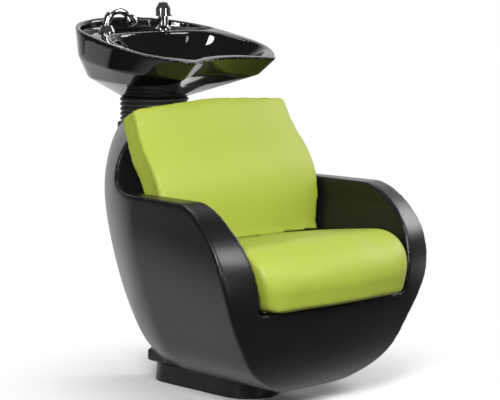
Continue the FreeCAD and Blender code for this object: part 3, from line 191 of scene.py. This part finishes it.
satin = finish_of("satin_black", (0.004, 0.004, 0.004), (0.007, 0.007, 0.007), grain=1400.0, depth=0.10,
                  patch=9.0, rough=(0.26, 0.36), shine=0.32)
shell = even_copy("shell_skin", shell_mesh(), shell_voxel, shell_rounds)
dress(shell, satin)
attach(shell, "stand")
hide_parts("shell")
for node in ("service_cover", "plinth_cover"):
    dress(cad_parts[node], satin)

# Hidden frame: a steel floor plate with welded posts, rails and basin post, and the tilt head on top.
# All of it is powder coated before it is bolted up.
powder = finish_of("powder_coat", (0.03, 0.03, 0.03), (0.05, 0.05, 0.05), grain=700.0, depth=0.3, patch=20.0,
                   rough=(0.45, 0.6))
for node in ("base_plate", "seat_posts", "seat_rails", "basin_post", "tilt_clevis", "basin_bracket"):
    dress(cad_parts[node], powder)


# Cushions: foam blocks in a sewn cover of lime leatherette, with a thin welt along each side. The cover
# is drawn taut over the foam, and lies flat only on the board and the shell that carry it.
def node_mesh(name, node):
    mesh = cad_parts[node].data.copy()
    mesh.name = name
    return mesh


cover_voxel, cover_rounds, cover_ease, cover_travel = 0.006, 3, 0.001, 0.007
cover_frames, cover_passes = 20, 40
welt_radius, flank_share, face_share = 0.0013, 0.75, 0.5


def swollen(name, node, planes):
    """A cloth cover that starts just outside its foam, swells under pressure and clears what carries it."""
    piece = even_copy(name, node_mesh(name, node), cover_voxel, cover_rounds)
    mesh = piece.data
    start = np.empty(len(mesh.vertices) * 3)
    mesh.vertices.foreach_get("co", start)
    start = start.reshape(-1, 3)
    normals = np.array([vertex.normal for vertex in mesh.vertices])
    start += normals * cover_ease
    mesh.vertices.foreach_set("co", start.ravel())
    settled = start - normals * cover_ease
    cloth = piece.modifiers.new("cover", "CLOTH")
    cover = cloth.settings
    cover.quality, cover.mass = 6, 0.3
    cover.tension_stiffness, cover.compression_stiffness, cover.shear_stiffness = 40.0, 40.0, 20.0
    cover.bending_stiffness = 4.0
    cover.use_pressure, cover.uniform_pressure_force = True, 4.0
    cover.effector_weights.gravity = 0.0
    for step in range(1, cover_frames + 1):
        bpy.context.scene.frame_set(step)
    swelled = piece.evaluated_get(bpy.context.evaluated_depsgraph_get()).to_mesh()
    settled = np.empty(len(mesh.vertices) * 3)
    swelled.vertices.foreach_get("co", settled)
    settled = settled.reshape(-1, 3)
    piece.modifiers.clear()
    bpy.context.scene.frame_set(1)
    move = settled - start
    ends = np.empty(len(mesh.edges) * 2, dtype=int)
    mesh.edges.foreach_get("vertices", ends)
    ends = ends.reshape(-1, 2)
    near = np.bincount(ends.ravel(), minlength=len(start))[:, None]
    for turn in range(cover_passes):
        pull = np.zeros_like(move)
        np.add.at(pull, ends[:, 0], move[ends[:, 1]])
        np.add.at(pull, ends[:, 1], move[ends[:, 0]])
        move = (move + pull / near) / 2
    length = np.linalg.norm(move, axis=1, keepdims=True)
    settled = start + move * np.minimum(1.0, cover_travel / np.maximum(length, 1e-9))
    for point, normal in planes:
        depth = (settled - np.array(point)) @ np.array(normal)
        settled -= np.outer(np.minimum(depth, 0.0), normal)
    mesh.vertices.foreach_set("co", settled.ravel())
    mesh.update()
    fine = piece.modifiers.new("fine", "SUBSURF")
    fine.levels = fine.render_levels = 1
    return piece


def seam(name, node, cover, side):
    """The sewn edge between a cushion's face and one of its flanks, as a thin welt that lies on the cover."""
    bm = bmesh.new()
    bm.from_mesh(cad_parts[node].data)
    bmesh.ops.remove_doubles(bm, verts=bm.verts, dist=1e-5)
    low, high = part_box(node)
    middle = (low + high) / 2
    tree = BVHTree.FromPolygons([vertex.co for vertex in cover.vertices],
                                [face.vertices for face in cover.polygons])
    spots = {}
    for edge in bm.edges:
        if len(edge.link_faces) == 2:
            flank, face = sorted((f.normal for f in edge.link_faces), key=lambda n: -n.x * side)
            if flank.x * side > flank_share and abs(face.x) < face_share and face.z - face.y > face_share:
                for vertex in edge.verts:
                    turn = math.atan2(vertex.co.z - middle[2], middle[1] - vertex.co.y)
                    spots[round(turn, 2)] = vertex.co.copy()
    bm.free()
    path = bpy.data.curves.new(name, "CURVE")
    path.dimensions, path.bevel_depth, path.bevel_resolution = "3D", welt_radius, 2
    line = path.splines.new("POLY")
    line.points.add(len(spots) - 1)
    for point, turn in zip(line.points, sorted(spots)):
        rest = tree.find_nearest(spots[turn])[0]
        point.co = (*rest, 1.0)
    piece = bpy.data.objects.new(name, path)
    bpy.context.collection.objects.link(piece)
    mesh = bpy.data.meshes.new_from_object(piece.evaluated_get(bpy.context.evaluated_depsgraph_get()))
    bpy.data.objects.remove(piece)
    mesh.shade_smooth()
    welt = bpy.data.objects.new(name, mesh)
    bpy.context.collection.objects.link(welt)
    return welt


lime = finish_of("lime_leatherette", (0.275, 0.325, 0.034), (0.30, 0.35, 0.042), grain=520.0, depth=0.22,
                 patch=6.0, rough=(0.46, 0.58), shine=0.35)
seat_rake = math.radians(7.0)
seat_floor = ((0.0, -0.470, 0.2864), (0.0, math.sin(seat_rake), math.cos(seat_rake)))
back_run, back_climb, back_depth = 0.116, 0.199, 0.0621
back_bend_front, back_bend_height = -0.092, 0.566
lean = math.atan2(back_run, back_climb)
back_wall = ((0.0, back_bend_front + back_depth / math.cos(lean), back_bend_height),
             (0.0, -math.cos(lean), math.sin(lean)))
for name, node, planes in (("seat_pad", "seat_cushion", [seat_floor]),
                           ("back_pad", "back_cushion", [back_wall])):
    pad = swollen(name, node, planes)
    dress(pad, lime)
    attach(pad, "stand")
    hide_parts(node)
    for side in (-1, 1):
        welt = seam(name + "_welt_" + ("right" if side < 0 else "left"), node, pad.data, side)
        dress(welt, lime)
        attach(welt, "stand")

# Boards behind the cushions: bare plywood, screwed to the floor and the back of the shell's well. The
# cushions are fixed on them.
ply = finish_of("plywood", (0.5, 0.34, 0.18), (0.38, 0.25, 0.12), grain=160.0, depth=0.3, patch=30.0,
                rough=(0.6, 0.8))
for node in ("seat_board", "back_board"):
    dress(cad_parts[node], ply)

# Fasteners, pins, nuts and washers: zinc-plated steel. The tilt head turns in bronze bushes, held
# still by fibre washers, and the mixer's cartridge is bronze too.
zinc = finish_of("zinc_steel", (0.55, 0.55, 0.56), (0.45, 0.45, 0.47), grain=1800.0, depth=0.1, patch=60.0,
                 rough=(0.25, 0.45), metallic=1.0)
for node in ("service_cover_screws", "seat_board_screws", "back_board_screws", "tilt_pin", "tilt_nut",
             "basin_bolts", "lever_pin", "mixer_nut", "holder_nut", "mixer_washer", "holder_washer"):
    dress(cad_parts[node], zinc)
fibre = finish_of("friction_fibre", (0.22, 0.16, 0.1), (0.3, 0.22, 0.15), grain=900.0, depth=0.5, patch=80.0,
                  rough=(0.7, 0.9))
dress(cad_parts["friction_washers"], fibre)
bronze = finish_of("bronze", (0.5, 0.32, 0.12), (0.42, 0.27, 0.1), grain=1500.0, depth=0.1, patch=50.0,
                   rough=(0.3, 0.45), metallic=1.0)
for node in ("tilt_bushes", "mixer_cartridge"):
    dress(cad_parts[node], bronze)

# Bellows and seals: black rubber with a dusty matte face. The gaiter is moulded with round ribs and sits
# between shell and basin.
rubber = finish_of("rubber_black", (0.010, 0.010, 0.010), (0.018, 0.018, 0.018), grain=1100.0, depth=0.2,
                   patch=25.0, rough=(0.5, 0.65))
for node in ("drain_seal", "mixer_gasket"):
    dress(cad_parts[node], rubber)
gaiter_low, gaiter_high, gaiter_along = 0.7063, 0.7727, 0.255
gaiter_crest, gaiter_root, gaiter_bore = 0.095, 0.087, 0.082
gaiter_ribs, gaiter_around, rib_steps, rib_roundness = 5, 96, 16, 0.7


def gaiter_mesh():
    """A tube with round ribs outside and a plain bore, turned about an upright line."""
    steps, tall = gaiter_ribs * rib_steps, gaiter_high - gaiter_low
    profile = [(gaiter_bore, gaiter_low)]
    for step in range(steps + 1):
        swell = abs(math.sin(math.pi * gaiter_ribs * step / steps)) ** rib_roundness
        profile.append((gaiter_root + (gaiter_crest - gaiter_root) * swell, gaiter_low + tall * step / steps))
    profile.append((gaiter_bore, gaiter_high))
    turns = [2 * math.pi * k / gaiter_around for k in range(gaiter_around)]
    bm = bmesh.new()
    rings = []
    for radius, height in profile:
        rings.append([bm.verts.new((radius * math.cos(turn), gaiter_along + radius * math.sin(turn), height))
                      for turn in turns])
    for ring, after in zip(rings, rings[1:] + rings[:1]):
        for k in range(gaiter_around):
            beside = (k + 1) % gaiter_around
            bm.faces.new((ring[k], ring[beside], after[beside], after[k]))
    bmesh.ops.recalc_face_normals(bm, faces=bm.faces)
    mesh = bpy.data.meshes.new("bellows_gaiter")
    bm.to_mesh(mesh)
    bm.free()
    mesh.shade_smooth()
    return mesh


gaiter = bpy.data.objects.new("bellows_gaiter", gaiter_mesh())
bpy.context.collection.objects.link(gaiter)
dress(gaiter, rubber)
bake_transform(gaiter)
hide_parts("bellows")

# Basin: black china under a thick gloss glaze, cast in one piece with a soft rolled rim and a deck for
# the fittings, and bolted to the tilt head.
china_voxel, china_rounds = 0.003, 24
glaze = finish_of("black_glaze", (0.004, 0.004, 0.004), (0.006, 0.006, 0.006), grain=60.0, depth=0.008,
                  patch=12.0, rough=(0.02, 0.05), shine=0.42)
china = even_copy("basin_china", node_mesh("basin_china", "basin"), china_voxel, china_rounds)
dress(china, glaze)
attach(china, "basin_unit")
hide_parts("basin")

# Fittings on the basin: brass castings and pressings under polished chrome, clamped through the deck and
# the bowl's floor. The drain's nut, the lever's index and the spray face are grey plastic.
chrome = finish_of("chrome", (0.78, 0.78, 0.79), (0.72, 0.72, 0.74), grain=300.0, depth=0.01, patch=40.0,
                   rough=(0.04, 0.09), metallic=1.0)
for node in ("drain_flange", "hair_strainer", "mixer_body", "lever_carrier", "mixer_lever", "shower_holder",
             "shower_handle", "shower_grip", "spray_head"):
    dress(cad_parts[node], chrome)
grey = finish_of("grey_plastic", (0.16, 0.16, 0.16), (0.22, 0.22, 0.22), grain=900.0, depth=0.1, patch=40.0,
                 rough=(0.35, 0.5))
for node in ("drain_nut", "lever_index", "spray_face"):
    dress(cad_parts[node], grey)

# Studio floor: pale and matte, melting into the white backdrop round the plinth's shadow. Far off, its colour
# is mixed towards near black for rays other than the camera's: a painted shade that stands in for the lamps'
# falloff, so that it throws less light back on the unit. Gloss and metal see the backdrop only behind the unit.
backdrop_way, backdrop_edge, backdrop_full = (0.68, 0.73, 0.0), 0.4, 0.9


def seen_rays(nodes, link, spot):
    """1 for the camera's rays and for those that gloss, metal and glass send to the backdrop."""
    ray, toward = nodes.new("ShaderNodeLightPath"), nodes.new("ShaderNodeVectorMath")
    wall, most = nodes.new("ShaderNodeMapRange"), nodes.new("ShaderNodeMath")
    sent, share = nodes.new("ShaderNodeMath"), nodes.new("ShaderNodeMath")
    toward.operation, wall.interpolation_type = "DOT_PRODUCT", "SMOOTHSTEP"
    toward.inputs[1].default_value = backdrop_way
    wall.inputs["From Min"].default_value, wall.inputs["From Max"].default_value = backdrop_edge, backdrop_full
    sent.operation, share.operation, most.operation = "MAXIMUM", "MULTIPLY", "MAXIMUM"
    link(spot, toward.inputs[0])
    link(toward.outputs["Value"], wall.inputs["Value"])
    link(ray.outputs["Is Glossy Ray"], sent.inputs[0])
    link(ray.outputs["Is Transmission Ray"], sent.inputs[1])
    link(sent.outputs["Value"], share.inputs[0])
    link(wall.outputs["Result"], share.inputs[1])
    link(ray.outputs["Is Camera Ray"], most.inputs[0])
    link(share.outputs["Value"], most.inputs[1])
    return most.outputs["Value"]


bpy.ops.mesh.primitive_plane_add(size=14.0)
floor = bpy.context.object
floor.name = "floor"
pale = finish_of("pale_floor", (0.86, 0.86, 0.86), (0.9, 0.9, 0.9), grain=300.0, depth=0.02, patch=3.0,
                 rough=(0.6, 0.7), shine=0.0)
nodes, link = pale.node_tree.nodes, pale.node_tree.links.new
place = nodes.new("ShaderNodeTexCoord")
shown = seen_rays(nodes, link, place.outputs["Object"])
# Painted shade: the floor's colour is mixed towards near black far from the unit for rays other than the
# camera's, in place of the lamps' falloff.
shader, far_shade = nodes["Principled BSDF"], nodes.new("ShaderNodeMix")
far_shade.data_type = "RGBA"
far_shade.inputs["B"].default_value = (0.04, 0.04, 0.04, 1.0)
glow, melt = nodes.new("ShaderNodeEmission"), nodes.new("ShaderNodeMixShader")
for centre, near, far, seen, end in (
        ((0.1, -0.05, 0.0), 0.3, 0.75, (0.0, 1.0), melt.inputs["Fac"]),
        ((0.1, 0.65, 0.0), 0.75, 1.45, (1.0, 0.0), far_shade.inputs["Factor"])):
    reach, fade = nodes.new("ShaderNodeVectorMath"), nodes.new("ShaderNodeMapRange")
    share, view = nodes.new("ShaderNodeMath"), nodes.new("ShaderNodeMapRange")
    reach.operation = "DISTANCE"
    reach.inputs[1].default_value = centre
    fade.interpolation_type = "SMOOTHSTEP"
    fade.inputs["From Min"].default_value, fade.inputs["From Max"].default_value = near, far
    view.inputs["To Min"].default_value, view.inputs["To Max"].default_value = seen
    share.operation = "MULTIPLY"
    link(place.outputs["Object"], reach.inputs[0])
    link(reach.outputs["Value"], fade.inputs["Value"])
    link(shown, view.inputs["Value"])
    link(fade.outputs["Result"], share.inputs[0])
    link(view.outputs["Result"], share.inputs[1])
    link(share.outputs["Value"], end)
link(shader.inputs["Base Color"].links[0].from_socket, far_shade.inputs["A"])
link(far_shade.outputs["Result"], shader.inputs["Base Color"])
link(shader.outputs["BSDF"], melt.inputs[1])
link(glow.outputs["Emission"], melt.inputs[2])
link(melt.outputs["Shader"], nodes["Material Output"].inputs["Surface"])
dress(floor, pale)

# Studio light: a faint even fill, a white backdrop that lights nothing, four soft boxes for the shell and
# the cushions, and two upright strips that draw the bright lines on the chrome.
world = bpy.data.worlds.new("studio")
bpy.context.scene.world = world
world.use_nodes = True
sky, link = world.node_tree.nodes, world.node_tree.links.new
fill, backdrop = sky["Background"], sky.new("ShaderNodeBackground")
fill.inputs["Color"].default_value = (1.0, 1.0, 1.0, 1.0)
fill.inputs["Strength"].default_value = 0.06
backdrop.inputs["Color"].default_value = (1.0, 1.0, 1.0, 1.0)
backdrop.inputs["Strength"].default_value = 1.0
choice, place = sky.new("ShaderNodeMixShader"), sky.new("ShaderNodeTexCoord")
link(seen_rays(sky, link, place.outputs["Generated"]), choice.inputs["Fac"])
link(fill.outputs["Background"], choice.inputs[1])
link(backdrop.outputs["Background"], choice.inputs[2])
link(choice.outputs["Shader"], sky["World Output"].inputs["Surface"])

for label, spot, aim, width, height, power in (
        ("key_box", (0.7, -2.7, 2.3), (0.0, 0.0, 0.5), 1.1, 1.1, 62.0),
        ("right_box", (3.0, -0.7, 1.9), (0.0, 0.0, 0.5), 0.9, 1.3, 38.0),
        ("left_box", (-2.7, -2.4, 2.1), (0.0, 0.0, 0.5), 1.0, 1.4, 180.0),
        ("top_box", (0.0, 0.8, 3.4), (0.0, 0.0, 0.6), 2.4, 1.2, 32.0),
        ("left_strip", (-3.9, -0.6, 0.9), (0.0, 0.3, 0.9), 0.3, 1.5, 14.0),
        ("front_strip", (-0.1, -4.2, 0.9), (0.0, 0.3, 0.9), 0.3, 1.5, 14.0)):
    lamp = bpy.data.lights.new(label, "AREA")
    lamp.shape, lamp.size, lamp.size_y, lamp.energy = "RECTANGLE", width, height, power
    box = bpy.data.objects.new(label, lamp)
    box.location = spot
    box.rotation_euler = (Vector(aim) - Vector(spot)).to_track_quat("-Z", "Y").to_euler()
    bpy.context.collection.objects.link(box)

# Camera: the photograph's own view, worked out from the mirrored halves of the unit, with a long lens
# from a little above the basin.
azimuth, elevation = math.radians(-42.97), math.radians(7.48)
eye = bpy.data.cameras.new("photo_view")
eye.sensor_fit, eye.sensor_width, eye.lens = "HORIZONTAL", 36.0, 154.97
camera = bpy.data.objects.new("photo_view", eye)
camera.location = (-3.8532, -4.2693, 1.2631)
away = Vector((math.sin(azimuth) * math.cos(elevation), -math.cos(azimuth) * math.cos(elevation),
               math.sin(elevation)))
camera.rotation_euler = (-away).to_track_quat("-Z", "Y").to_euler()
bpy.context.collection.objects.link(camera)
bpy.context.scene.camera = camera
bpy.context.scene.view_settings.view_transform = "Standard"
